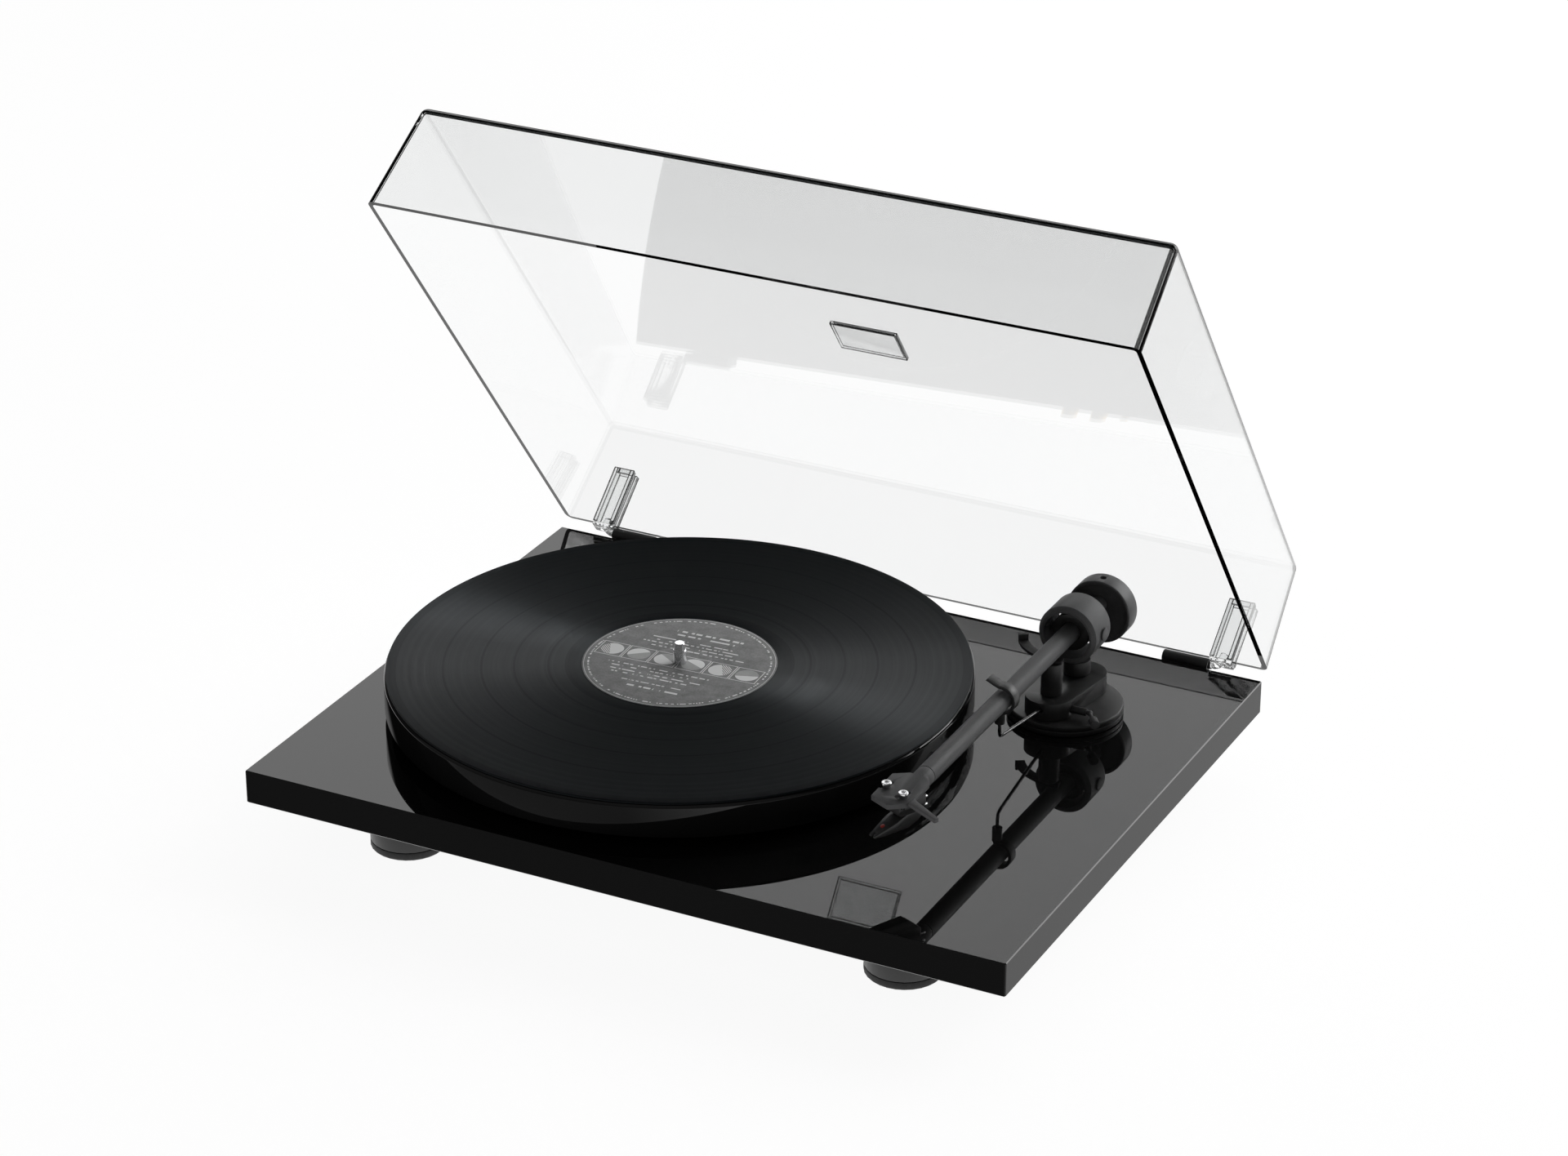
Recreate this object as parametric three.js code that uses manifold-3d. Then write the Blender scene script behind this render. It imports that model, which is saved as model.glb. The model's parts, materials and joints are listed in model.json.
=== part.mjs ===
// Belt-drive turntable with its dust cover open and its arm parked on the rest.
// Millimetres, Z up; the front faces -Y. Dimensions are taken from the floor under the plinth's middle,
// and the whole group is then moved so that the origin is under the middle of the part with its cover open.
import * as THREE from "three";
import { mergeVertices } from "three/addons/utils/BufferGeometryUtils.js";
import Module from "manifold-3d";

const wasm = await Module();
wasm.setup();

// ---- driving dimensions ----
const gap = 0.3; // running or assembly gap left between neighbouring pieces
const plinthWidth = 415;
const plinthDepth = 320;
const plinthThickness = 18;
const footHeight = 25;
const footRadius = 19.5;
const footX = 137.5;
const footY = 120.8;
const deck = footHeight + plinthThickness; // top face of the plinth

const spindleX = -48;
const spindleY = 0.7;
const spindleRadius = 3.5;
const spindleAboveRecord = 11.2;
const platterRadius = 150.3;
const platterBottom = deck + 5.8;
const platterTop = deck + 23;
const matDepth = 1.8;
const recordRadius = 149.3;
const recordTop = deck + 24.4;
const recordThickness = 1.2;
const labelRadius = 49.8;

const subPlatterRadius = 62;
const pulleyRadius = 8;
const beltThickness = 0.8;
const beltWidth = 4;
const beltMiddle = deck + 12;
const motorX = spindleX - 66;
const motorY = spindleY - 66;
const motorRadius = 23;

const pivotX = 130;
const pivotY = 97.5;
const armHeight = deck + 43; // axis of the arm tube
const armTubeRadius = 5;
const ringRadius = 15.8;
const ringFront = pivotY - 15.2;
const ringRear = pivotY + 5;
const tiltAxisY = pivotY - 4.3;
const tubeFront = pivotY - 181; // where the tube meets the headshell
const offsetAngle = THREE.MathUtils.degToRad(26);
const screwSpacing = 12.7;

const weightRadius = 17.3;
const weightFront = pivotY + 25.8;
const weightThickness = 10.8;
const weightDrop = 4.4; // the weight hangs lower than the tube

const axleRadius = 2.5;

const baseX = 130;
const baseY = 83.7;
const baseRadius = 29.8;
const flangeThickness = 3;
const baseTop = deck + 6;
const blockTop = deck + 15.7;
const blockRadius = 12.6;
const postX = 127.8;
const postY = 70.3;
const postRadius = 5.5;
const postTop = deck + 34;
const restY = 5;
const wireX = 127.8;
const leverZ = deck + 9.9;

const hingeY = 163.9;
const hingeZ = deck + 0.4;
const openAngle = THREE.MathUtils.degToRad(52.8);
const lidWidth = 416;
const lidDepth = 318.3;
const lidHeight = 61.4;
const lidWall = 2.6;
const lidDraft = THREE.MathUtils.degToRad(2.9);
const lidBottom = deck + 4.3;
const lidBack = hingeY + 0.15;
const clipInner = 176.6;
const clipWidth = 12.6;
const barrelRadius = 3.35;
const barrelLength = 25.3;
const hingeRodRadius = 2.2;

// ---- colours ----
const gloss = 0x17181a;
const satin = 0x2a2b2d;
const graphite = 0x55585b;
const rubber = 0x1b1b1c;
const steel = 0xc9ccd0;
const clear = 0xe9eef0;
const vinyl = 0x101316;
const board = 0x1f5a38;

// ---- geometry helpers ----
const unitX = new THREE.Vector3(1, 0, 0);
const unitY = new THREE.Vector3(0, 1, 0);
const unitZ = new THREE.Vector3(0, 0, 1);

function merged(geometry) {
  const plain = geometry.clone();
  plain.deleteAttribute("normal");
  plain.deleteAttribute("uv");
  return mergeVertices(plain, 1e-4);
}

function toSolid(geometry) {
  const g = merged(geometry);
  const triVerts = new Uint32Array(g.index.array);
  return new wasm.Manifold(new wasm.Mesh({ numProp: 3, vertProperties: g.attributes.position.array, triVerts }));
}

function toGeometry(solid) {
  const made = solid.getMesh();
  const geometry = new THREE.BufferGeometry();
  geometry.setAttribute("position", new THREE.BufferAttribute(new Float32Array(made.vertProperties), 3));
  geometry.setIndex(new THREE.BufferAttribute(new Uint32Array(made.triVerts), 1));
  geometry.computeVertexNormals();
  return geometry;
}

function cut(geometry, ...tools) {
  let solid = toSolid(geometry);
  for (const tool of tools) solid = solid.subtract(toSolid(tool));
  return toGeometry(solid);
}

function join(...geometries) {
  let solid = toSolid(geometries[0]);
  for (const other of geometries.slice(1)) solid = solid.add(toSolid(other));
  return toGeometry(solid);
}

function box(x0, x1, y0, y1, z0, z1) {
  const geometry = new THREE.BoxGeometry(x1 - x0, y1 - y0, z1 - z0);
  return geometry.translate((x0 + x1) / 2, (y0 + y1) / 2, (z0 + z1) / 2);
}

// Upright turned piece about (x, y). Profile points are [radius, z], anticlockwise seen with r to the right.
function turned(x, y, profile, segments = 28) {
  const points = profile.map(([r, z]) => new THREE.Vector2(r, z));
  const closed = profile[0][0] > 0 ? [...points, points[0].clone()] : points;
  return new THREE.LatheGeometry(closed, segments).rotateX(Math.PI / 2).translate(x, y, 0);
}

function disc(x, y, radius, z0, z1, segments = 28) {
  return turned(x, y, [[0, z0], [radius, z0], [radius, z1], [0, z1]], segments);
}

// Turned piece with a small bevel round its top edge.
function bevelledDisc(x, y, radius, z0, z1, bevel, segments = 28) {
  return turned(x, y, [[0, z0], [radius, z0], [radius, z1 - bevel], [radius - bevel, z1], [0, z1]], segments);
}

// Turned piece lying along X or Y. Profile points are [radius, distance along the axis].
function turnedAlongX(y, z, profile, segments = 24) {
  return turned(0, 0, profile, segments).rotateY(Math.PI / 2).translate(0, y, z);
}

function turnedAlongY(x, z, profile, segments = 28) {
  return turned(0, 0, profile, segments).rotateX(-Math.PI / 2).translate(x, 0, z);
}

// Round rod that follows a path through the given points.
function rod(points, radius, steps, tension = 0.5) {
  const path = new THREE.CatmullRomCurve3(points.map((p) => new THREE.Vector3(...p)), false, "catmullrom", tension);
  const section = new THREE.Shape().absarc(0, 0, radius, 0, 2 * Math.PI);
  return new THREE.ExtrudeGeometry(section, { extrudePath: path, steps, curveSegments: 6 });
}

function extruded(points, depth) {
  const shape = new THREE.Shape(points.map((p) => new THREE.Vector2(...p)));
  return new THREE.ExtrudeGeometry(shape, { depth, bevelEnabled: false });
}

// Prisms with their outline given as [x, y], [y, z] and [x, z].
function prism(points, z0, z1) {
  return extruded(points, z1 - z0).translate(0, 0, z0);
}

function prismAlongX(points, x0, x1) {
  const turn = new THREE.Matrix4().makeBasis(unitY, unitZ, unitX);
  return extruded(points, x1 - x0).applyMatrix4(turn).translate(x0, 0, 0);
}

function prismAlongY(points, y0, y1) {
  const turn = new THREE.Matrix4().makeBasis(unitX, unitZ, unitY.clone().negate());
  return extruded(points, y1 - y0).applyMatrix4(turn).translate(0, y1, 0);
}

// Outline of a rounded rectangle as a list of [x, y].
function roundedRectangle(width, depth, radius, steps = 5) {
  const outline = [];
  const corners = [[1, 1, 0], [-1, 1, 90], [-1, -1, 180], [1, -1, 270]];
  for (const [sx, sy, start] of corners) {
    for (let i = 0; i <= steps; i++) {
      const angle = THREE.MathUtils.degToRad(start + (90 * i) / steps);
      const x = sx * (width / 2 - radius) + radius * Math.cos(angle);
      const y = sy * (depth / 2 - radius) + radius * Math.sin(angle);
      outline.push([x, y]);
    }
  }
  return outline;
}

// Outline of a pill: two half circles of the same radius joined by straight flanks.
function pill(x0, y0, x1, y1, radius, steps = 24) {
  const along = Math.atan2(y1 - y0, x1 - x0);
  const outline = [];
  for (let i = 0; i <= steps; i++) {
    const angle = along - Math.PI / 2 + (Math.PI * i) / steps;
    outline.push([x1 + radius * Math.cos(angle), y1 + radius * Math.sin(angle)]);
  }
  for (let i = 0; i <= steps; i++) {
    const angle = along + Math.PI / 2 + (Math.PI * i) / steps;
    outline.push([x0 + radius * Math.cos(angle), y0 + radius * Math.sin(angle)]);
  }
  return outline;
}

// ---- assembly helpers ----
const turntable = new THREE.Group();
turntable.name = "turntable";
turntable.position.y = -26.49;

function place(name, geometry, color, { metalness = 0.1, roughness = 0.5, parent = turntable } = {}) {
  const material = new THREE.MeshStandardMaterial({ color, metalness, roughness });
  const mesh = new THREE.Mesh(geometry, material);
  mesh.name = name;
  parent.add(mesh);
  return mesh;
}

const feet = [
  ["front_left", -1, -1],
  ["front_right", 1, -1],
  ["rear_left", -1, 1],
  ["rear_right", 1, 1],
];

// ---- plinth, feet and what hangs under it ----
const bearingBore = 7.9;
const motorBore = motorRadius + 2.2;
const armStemRadius = 13;
const pocket = { x0: -108, x1: -40, y0: -150, y1: -106, depth: 12 };

function addPlinth() {
  const bevel = 0.5;
  const shape = new THREE.Shape(
    roundedRectangle(plinthWidth - 2 * bevel, plinthDepth - 2 * bevel, 0.5, 2).map((p) => new THREE.Vector2(...p)),
  );
  const depth = plinthThickness - 2 * bevel;
  const settings = { depth, bevelThickness: bevel, bevelSize: bevel, bevelSegments: 1 };
  const slab = new THREE.ExtrudeGeometry(shape, settings).translate(0, 0, footHeight + bevel);
  const below = footHeight - 1;
  const above = deck + 1;
  const body = cut(
    slab,
    disc(spindleX, spindleY, bearingBore, below, above),
    disc(motorX, motorY, motorBore, below, above),
    disc(baseX, baseY, armStemRadius + gap, below, above),
    box(pocket.x0, pocket.x1, pocket.y0, pocket.y1, below, footHeight + pocket.depth),
  );
  place("plinth", body, gloss, { roughness: 0.08 });
}

function addFeet() {
  const padTop = 4.5;
  for (const [corner, sx, sy] of feet) {
    const x = sx * footX;
    const y = sy * footY;
    const padProfile = [[0, 0], [footRadius - 1.2, 0], [footRadius, 1.2], [footRadius, padTop], [10.4, padTop]];
    place("foot_pad_" + corner, turned(x, y, [...padProfile, [10.4, 2], [0, 2]]), rubber, { roughness: 0.8 });
    const bodyProfile = [[0, 2.3], [10, 2.3], [10, padTop + gap], [footRadius, padTop + gap]];
    const bodyTop = [[footRadius, footHeight - gap], [0, footHeight - gap]];
    place("foot_" + corner, turned(x, y, [...bodyProfile, ...bodyTop]), satin, { roughness: 0.55 });
  }
}

function addUndersideParts() {
  const coverTop = footHeight - gap;
  const coverBottom = coverTop - 2;
  const switchX = pocket.x0 + 10;
  const switchY = -134;
  const opening = box(switchX - 7, switchX + 7, -145, -123, coverBottom - 1, coverTop + 1);
  const coverPlate = box(pocket.x0 - 4, pocket.x1 + 4, pocket.y0 - 3, pocket.y1 + 4, coverBottom, coverTop);
  place("underside_cover", cut(coverPlate, opening), satin, { roughness: 0.6 });

  const boardTop = footHeight + pocket.depth - 2;
  const capacitor = disc(pocket.x0 + 48, -120, 4, boardTop - 8.5, boardTop - 1.5, 24);
  const chip = box(pocket.x0 + 30, pocket.x0 + 40, -140, -130, boardTop - 4, boardTop - 1.5);
  const plate = box(pocket.x0 + 20, pocket.x1 - 2, pocket.y0 + 3, pocket.y1 - 3, boardTop - 1.6, boardTop);
  place("control_board", join(plate, capacitor, chip), board, { roughness: 0.5 });

  // The rocker housing is a frame that clips into the cover; the rocker turns on two pins inside it.
  const frameOuter = box(switchX - 6.7, switchX + 6.7, -144.7, -123.3, coverBottom - 1.2, coverTop + 6);
  const frameInner = box(switchX - 4.8, switchX + 4.8, -142.8, -125.2, coverBottom - 2, coverTop + 5);
  const axisZ = coverBottom + 2;
  const across = (radius, half) => {
    const [left, right] = [switchX - half, switchX + half];
    return turnedAlongX(switchY, axisZ, [[0, left], [radius, left], [radius, right], [0, right]], 16);
  };
  place("switch_housing", cut(frameOuter, frameInner, across(1, 6)), rubber, { roughness: 0.6 });
  const outline = [[-8.2, 0.3], [0, -1.6], [8.2, 0.3], [8.2, 2.2], [0, 3.4], [-8.2, 2.2]];
  const placed = outline.map(([y, z]) => [switchY - y, axisZ - z]);
  const key = prismAlongX(placed, switchX - 4.4, switchX + 4.4);
  place("speed_rocker", join(key, across(0.9, 5.7)), gloss, { roughness: 0.4 });
}

// ---- drive: main bearing, motor, belt ----
function addDrive() {
  const boreBottom = deck - 30;
  const housing = [
    [0, boreBottom - 3],
    [7.5, boreBottom - 3],
    [7.5, deck + gap],
    [17, deck + gap],
    [17, deck + 3],
    [4.1, deck + 3],
    [4.1, boreBottom],
    [0, boreBottom],
  ];
  place("main_bearing", turned(spindleX, spindleY, housing), 0xb98f4a, { metalness: 0.9, roughness: 0.3 });
  const ball = new THREE.SphereGeometry(3, 16, 10).translate(spindleX, spindleY, boreBottom + 3.1);
  place("bearing_ball", ball, steel, { metalness: 1, roughness: 0.1 });

  const cup = [
    [motorRadius + gap, deck - 16],
    [motorBore - gap, deck - 16],
    [motorBore - gap, deck + gap],
    [motorRadius + 9, deck + gap],
    [motorRadius + 9, deck + 2],
    [motorRadius + gap, deck + 2],
  ];
  place("motor_mount", turned(motorX, motorY, cup), satin, { roughness: 0.6 });
  const can = [
    [0, deck - 20],
    [motorRadius, deck - 20],
    [motorRadius, deck + 2],
    [6, deck + 2],
    [6, deck + 4],
    [1.1, deck + 4],
    [1.1, deck - 14],
    [0, deck - 14],
  ];
  place("motor", turned(motorX, motorY, can), 0x8d9196, { metalness: 0.8, roughness: 0.35 });

  // The pulley is pressed on the motor's shaft: both are turned as one.
  const low = beltMiddle - beltWidth / 2;
  const high = beltMiddle + beltWidth / 2;
  const pulley = [
    [0, deck - 13],
    [1, deck - 13],
    [1, low - 3],
    [pulleyRadius + 1.6, low - 3],
    [pulleyRadius + 1.6, low - 0.6],
    [pulleyRadius, low - 0.6],
    [pulleyRadius, high + 0.6],
    [pulleyRadius + 1.6, high + 0.6],
    [pulleyRadius + 1.6, high + 1.6],
    [0, high + 1.6],
  ];
  place("motor_pulley", turned(motorX, motorY, pulley), steel, { metalness: 0.9, roughness: 0.25 });

  place("drive_belt", beltGeometry(low, high), rubber, { roughness: 0.8 });
}

// Flat loop: two arcs round the sub-platter and the pulley, joined by their common tangents.
function beltGeometry(z0, z1) {
  const distance = Math.hypot(motorX - spindleX, motorY - spindleY);
  const towardMotor = Math.atan2(motorY - spindleY, motorX - spindleX);
  const tangent = Math.acos((subPlatterRadius - pulleyRadius) / distance);
  const outlineAt = (offset) => {
    const outline = [];
    const bigSteps = 40;
    for (let i = 0; i <= bigSteps; i++) {
      const angle = towardMotor + tangent + ((2 * Math.PI - 2 * tangent) * i) / bigSteps;
      const radius = subPlatterRadius + offset;
      outline.push([spindleX + radius * Math.cos(angle), spindleY + radius * Math.sin(angle)]);
    }
    const smallSteps = 10;
    for (let i = 0; i <= smallSteps; i++) {
      const angle = towardMotor - tangent + (2 * tangent * i) / smallSteps;
      const radius = pulleyRadius + offset;
      outline.push([motorX + radius * Math.cos(angle), motorY + radius * Math.sin(angle)]);
    }
    return outline;
  };
  return cut(prism(outlineAt(gap + beltThickness), z0, z1), prism(outlineAt(gap), z0 - 1, z1 + 1));
}

// ---- platter and everything that turns with it ----
function addPlatter() {
  const plateBottom = platterTop - 5.8;
  const matFloor = platterTop - matDepth;
  const subTop = plateBottom - gap;
  const recordBottom = recordTop - recordThickness;
  const tip = recordTop + spindleAboveRecord;
  const shaftBottom = deck - 23.85;

  const spindle = [
    [0, shaftBottom],
    [4, shaftBottom],
    [4, matFloor],
    [spindleRadius, matFloor],
    [spindleRadius, tip - 4.1],
    [spindleRadius - 0.5, tip - 3.9],
    [spindleRadius - 0.8, tip - 0.3],
    [spindleRadius - 1.1, tip],
    [0, tip],
  ];
  place("platter_spindle", turned(spindleX, spindleY, spindle), steel, { metalness: 1, roughness: 0.08 });

  const subPlatter = [
    [4 + gap, deck + 4],
    [13, deck + 4],
    [13, deck + 11],
    [subPlatterRadius - 5, deck + 11],
    [subPlatterRadius - 5, deck + 8.5],
    [subPlatterRadius, deck + 8.5],
    [subPlatterRadius, deck + 15.5],
    [18, deck + 15.5],
    [18, subTop],
    [4 + gap, subTop],
  ];
  place("sub_platter", turned(spindleX, spindleY, subPlatter, 48), 0x2f3133, { roughness: 0.6 });

  const rimBevel = 1.2;
  const platter = [
    [4 + gap, plateBottom],
    [138, plateBottom],
    [138, platterBottom],
    [platterRadius - 0.6, platterBottom],
    [platterRadius, platterBottom + 0.6],
    [platterRadius, platterTop - rimBevel],
    [platterRadius - rimBevel, platterTop],
    [148, platterTop],
    [148, matFloor],
    [4 + gap, matFloor],
  ];
  place("platter", turned(spindleX, spindleY, platter, 96), gloss, { metalness: 0.3, roughness: 0.12 });

  const mat = [[4, matFloor + 0.1], [147.5, matFloor + 0.1], [147.5, recordBottom - 0.1], [4, recordBottom - 0.1]];
  place("felt_mat", turned(spindleX, spindleY, mat, 64), 0x26272a, { roughness: 1 });

  const labelFloor = recordTop - 0.3;
  const record = [
    [spindleRadius + gap, recordBottom],
    [recordRadius - 0.4, recordBottom],
    [recordRadius, recordBottom + 0.4],
    [recordRadius, recordTop - 0.4],
    [recordRadius - 0.4, recordTop],
    [labelRadius + gap, recordTop],
    [labelRadius + gap, labelFloor],
    [spindleRadius + gap, labelFloor],
  ];
  place("record", turned(spindleX, spindleY, record, 96), vinyl, { roughness: 0.25 });
  const label = [
    [spindleRadius + gap, labelFloor + 0.1],
    [labelRadius, labelFloor + 0.1],
    [labelRadius, recordTop + 0.05],
    [spindleRadius + gap, recordTop + 0.05],
  ];
  place("record_label", turned(spindleX, spindleY, label, 64), 0x77787a, { roughness: 0.8 });
}

// ---- sockets at the back ----
function addTerminals() {
  const box0 = { x0: 16, x1: 92, y0: 128, y1: 158, z0: 8, z1: footHeight - gap };
  const shell = box(box0.x0, box0.x1, box0.y0, box0.y1, box0.z0, box0.z1);
  const hollow = box(box0.x0 + 2, box0.x1 - 2, box0.y0 + 2, box0.y1 - 2.5, box0.z0 + 2, box0.z1 + 1);
  const socketZ = 16.4;
  const holeAt = (x, radius) =>
    turnedAlongY(x, socketZ, [[0, box0.y1 - 4], [radius, box0.y1 - 4], [radius, box0.y1 + 2], [0, box0.y1 + 2]], 24);
  const places = { left: 34, right: 50, ground: 64, power: 80 };
  const holes = Object.values(places).map((x) => holeAt(x, 3 + gap));
  place("terminal_box", cut(shell, hollow, ...holes), satin, { roughness: 0.6 });

  const face = box0.y1 + gap;
  const inside = box0.y1 - 8;
  for (const side of ["left", "right"]) {
    const jack = [
      [0, inside],
      [3, inside],
      [3, face],
      [5.4, face],
      [5.4, face + 1.4],
      [4.1, face + 1.4],
      [4.1, face + 8.4],
      [1.6, face + 8.4],
      [1.6, inside + 2],
      [0, inside + 2],
    ];
    place("phono_socket_" + side, turnedAlongY(places[side], socketZ, jack, 28), 0xd0a94e, {
      metalness: 1,
      roughness: 0.25,
    });
  }
  const post = [
    [0, inside],
    [2, inside],
    [2, face + 0.2],
    [4.4, face + 0.2],
    [4.4, face + 4],
    [2, face + 4.6],
    [2, face + 7],
    [0, face + 7],
  ];
  place("ground_post", turnedAlongY(places.ground, socketZ, post, 28), 0xd0a94e, { metalness: 1, roughness: 0.3 });
  const inlet = [
    [0, inside],
    [3, inside],
    [3, face],
    [4.8, face],
    [4.8, face + 3],
    [2.8, face + 3],
    [2.8, inside + 1.5],
    [1, inside + 1.5],
    [1, face + 1.6],
    [0, face + 1.6],
  ];
  place("power_inlet", turnedAlongY(places.power, socketZ, inlet, 28), rubber, { roughness: 0.6 });
}

// ---- dust cover: modelled closed, then turned open about the hinge line ----
const coverGroup = new THREE.Group();
coverGroup.name = "dust_cover_group";
coverGroup.position.set(0, hingeY, hingeZ);
coverGroup.rotation.x = -openAngle;
turntable.add(coverGroup);

function placeOnCover(name, geometry, color, settings) {
  return place(name, geometry.translate(0, -hingeY, -hingeZ), color, { ...settings, parent: coverGroup });
}

// Closed skin through rings of points; the first and the last ring are capped.
function skin(rings) {
  const count = rings[0].length;
  const positions = rings.flat(2);
  const index = [];
  for (let ring = 0; ring + 1 < rings.length; ring++) {
    for (let i = 0; i < count; i++) {
      const next = (i + 1) % count;
      const [a, b] = [ring * count + i, ring * count + next];
      const [c, d] = [a + count, b + count];
      index.push(a, b, d, a, d, c);
    }
  }
  const last = (rings.length - 1) * count;
  for (let i = 1; i + 1 < count; i++) {
    index.push(0, i + 1, i);
    index.push(last, last + i, last + i + 1);
  }
  const geometry = new THREE.BufferGeometry();
  geometry.setAttribute("position", new THREE.Float32BufferAttribute(positions, 3));
  geometry.setIndex(index);
  geometry.computeVertexNormals();
  return geometry;
}

function addDustCover() {
  const edgeRadius = 3;
  const middleY = lidBack - lidDepth / 2;
  const ringAt = (inset, z, radius) =>
    roundedRectangle(lidWidth - 2 * inset, lidDepth - 2 * inset, radius).map(([x, y]) => [x, middleY + y, z]);
  const side = (wall, top) => {
    const round = edgeRadius - wall;
    const wallTop = top - Math.max(round, 0.4);
    const rings = [];
    const insetAt = (z) => wall + (z - lidBottom) * Math.tan(lidDraft);
    const cornerRadius = edgeRadius + 1 - wall;
    rings.push(ringAt(insetAt(lidBottom), lidBottom, cornerRadius));
    const steps = 4;
    for (let i = 0; i <= steps; i++) {
      const angle = (Math.PI / 2) * (i / steps);
      const rise = (top - wallTop) * Math.sin(angle);
      const inset = insetAt(wallTop) + (top - wallTop) * (1 - Math.cos(angle));
      const radius = Math.max(cornerRadius - (inset - insetAt(wallTop)), 0.5);
      rings.push(ringAt(inset, wallTop + rise, radius));
    }
    return rings;
  };
  const outer = side(0, lidBottom + lidHeight);
  const inner = side(lidWall, lidBottom + lidHeight - lidWall);
  placeOnCover("dust_cover", skin([...inner.reverse(), ...outer]), clear, { roughness: 0.02 });

  const badgeBottom = lidBottom + lidHeight + 0.1;
  const badge = prism(roundedRectangle(38, 24, 1.5, 3), badgeBottom, badgeBottom + 2.2);
  placeOnCover("cover_badge", badge.translate(0, middleY, 0), clear, { roughness: 0.05 });

  for (const [side, sign] of [["left", -1], ["right", 1]]) addHinge(side, sign);
}

// Clip that pushes over the cover's back wall; its foot carries the rod that turns in the barrel.
function addHinge(side, sign) {
  const plate = 2.2;
  const wallFront = lidBack - lidWall;
  const clipHeight = 33;
  const webBottom = lidBottom - 2.8;
  const channel = [
    [wallFront - gap - plate, webBottom],
    [lidBack + gap + plate, webBottom],
    [lidBack + gap + plate, lidBottom + clipHeight],
    [lidBack + gap, lidBottom + clipHeight],
    [lidBack + gap, lidBottom - gap],
    [wallFront - gap, lidBottom - gap],
    [wallFront - gap, lidBottom + clipHeight],
    [wallFront - gap - plate, lidBottom + clipHeight],
  ];
  // The plates lean with the wall's draft.
  const leaning = channel.map(([y, z]) => [y - Math.max(z - lidBottom, 0) * Math.tan(lidDraft), z]);
  const clipOuter = clipInner + clipWidth;
  const footEnd = clipInner + 8;
  const pinStart = clipInner - 17;
  const foot = turnedAlongX(hingeY, hingeZ, [[0, clipInner], [3.1, clipInner], [3.1, footEnd], [0, footEnd]], 24);
  const pinEnds = [[0, pinStart], [hingeRodRadius, pinStart], [hingeRodRadius, footEnd - 1], [0, footEnd - 1]];
  const pin = turnedAlongX(hingeY, hingeZ, pinEnds, 24);
  const clip = join(prismAlongX(leaning, clipInner, clipOuter), foot, pin);
  const barrelEnd = clipInner - gap;
  const barrelStart = barrelEnd - barrelLength;
  const bore = hingeRodRadius + 0.1;
  const barrel = turnedAlongX(hingeY, hingeZ, [
    [0, barrelStart],
    [barrelRadius, barrelStart],
    [barrelRadius, barrelEnd],
    [bore, barrelEnd],
    [bore, barrelEnd - 19],
    [0, barrelEnd - 19],
  ]);
  const bracketFront = plinthDepth / 2 + gap;
  const bracket = box(barrelStart + 2, barrelEnd - 2.8, bracketFront, hingeY + 1.5, deck - 15, deck - 0.5);
  const axis = turnedAlongX(hingeY, hingeZ, [
    [0, barrelStart + 1],
    [bore, barrelStart + 1],
    [bore, barrelEnd + 1],
    [0, barrelEnd + 1],
  ]);
  const holder = cut(bracket, axis);
  const mirrored = (geometry) => (sign < 0 ? toGeometry(toSolid(geometry).mirror([1, 0, 0])) : geometry);
  placeOnCover("hinge_clip_" + side, mirrored(clip), clear, { roughness: 0.08 });
  place("hinge_barrel_" + side, mirrored(join(barrel, holder)), rubber, { roughness: 0.5 });
}

// ---- tonearm ----
function addArmBase() {
  const stemBottom = deck - plinthThickness + 1;
  const flangeTop = deck + flangeThickness;
  const flange = disc(baseX, baseY, baseRadius, deck + gap, flangeTop, 48);
  const stem = disc(baseX, baseY, armStemRadius, stemBottom, deck + 1);
  place("arm_flange", join(flange, stem), satin, { roughness: 0.45 });
  place("arm_base", bevelledDisc(baseX, baseY, baseRadius, flangeTop + gap, baseTop, 0.5, 48), satin, {
    roughness: 0.45,
  });

  const front = [127.4, 69.5];
  const rear = [132.2, 99.5];
  const block = prism(pill(...front, ...rear, blockRadius), baseTop + gap, blockTop);
  const tools = [
    disc(postX, postY, 2.2, deck + 8, blockTop + 1, 24),
    disc(pivotX, pivotY, 4.4, deck + 8, blockTop + 1, 24),
    turnedAlongX(postY - 1, leverZ, [[0, 138], [2.3, 138], [2.3, 144], [0, 144]], 24),
    turnedAlongY(wireX, deck + 12, [[0, 50], [1.3, 50], [1.3, 62], [0, 62]], 16),
  ];
  place("arm_block", cut(block, ...tools), satin, { roughness: 0.45 });

  const pillarTop = deck + 24;
  const pillar = [
    [0, deck + 8.5],
    [4.1, deck + 8.5],
    [4.1, blockTop + gap],
    [7, blockTop + gap],
    [7, pillarTop],
    [axleRadius + 0.1, pillarTop],
    [axleRadius + 0.1, deck + 11],
    [0, deck + 11],
  ];
  place("arm_pillar", turned(pivotX, pivotY, pillar), satin, { roughness: 0.4 });

  const post = [
    [0, deck + 8.5],
    [1.9, deck + 8.5],
    [1.9, blockTop + gap],
    [postRadius, blockTop + gap],
    [postRadius, postTop - 0.5],
    [postRadius - 0.5, postTop],
    [1.6, postTop],
    [1.6, deck + 19],
    [0, deck + 19],
  ];
  place("lift_post", turned(postX, postY, post), satin, { roughness: 0.4 });
}

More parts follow.
